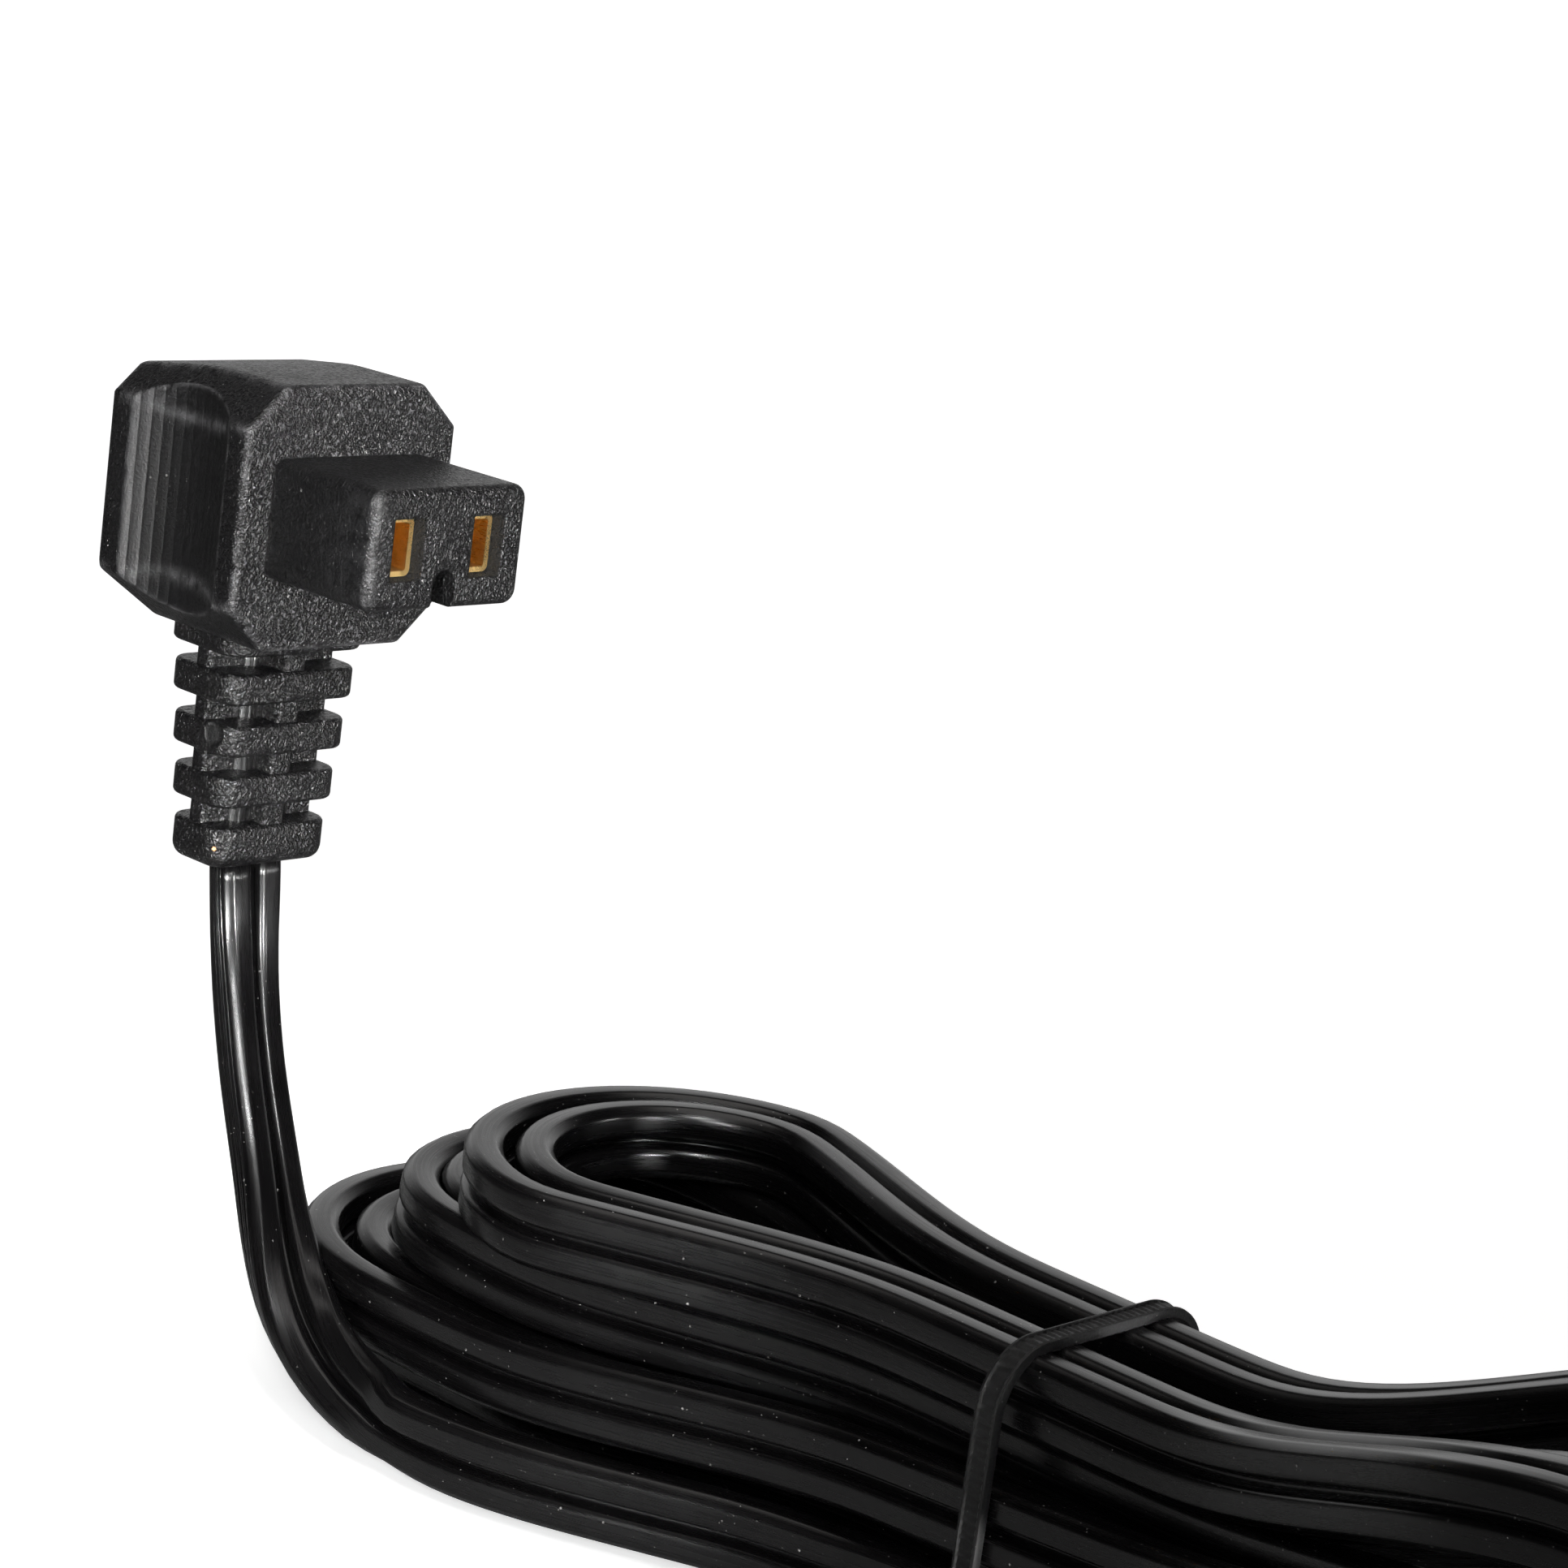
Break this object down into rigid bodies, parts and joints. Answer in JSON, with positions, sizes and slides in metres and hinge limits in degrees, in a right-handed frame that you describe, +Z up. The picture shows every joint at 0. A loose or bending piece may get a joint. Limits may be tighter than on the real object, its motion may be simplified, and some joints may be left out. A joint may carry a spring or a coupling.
{
  "type": "shore power cord",
  "caption": "Flat twin power cord tied in a hank, with a right-angle moulded appliance socket on one end and a moulded two-blade plug on the other.",
  "frame": {"origin": "centre of the mating face of the socket's nose", "axes": "-Y is the way the socket is pushed on, +Z is up with the cord leaving the socket downwards, +X is to the right seen from the front"},
  "size_m": [0.0465, 0.339, 0.0872],
  "materials": {
    "overmould": "matte grained",
    "carrier": "fine grained",
    "contact": "bright",
    "cord": "satin gloss",
    "strands": "bare stranded wire",
    "tie": "satin",
    "bridge": "satin",
    "blade": "plated, satin"
  },
  "bodies": {
    "root": {"connector_overmould": "overmould", "contact_carrier": "carrier", "contact_line": "contact", "contact_neutral": "contact", "socket_cord_end": "cord", "socket_strands_line": "strands", "socket_strands_neutral": "strands", "cord_lead": "cord", "cord_hank": "cord", "cord_tail": "cord", "cable_tie": "tie", "plug_overmould": "overmould", "plug_bridge": "bridge", "plug_blade_line": "blade", "plug_blade_neutral": "blade", "plug_cord_end": "cord", "plug_strands_line": "strands", "plug_strands_neutral": "strands"}
  },
  "joints": []
}
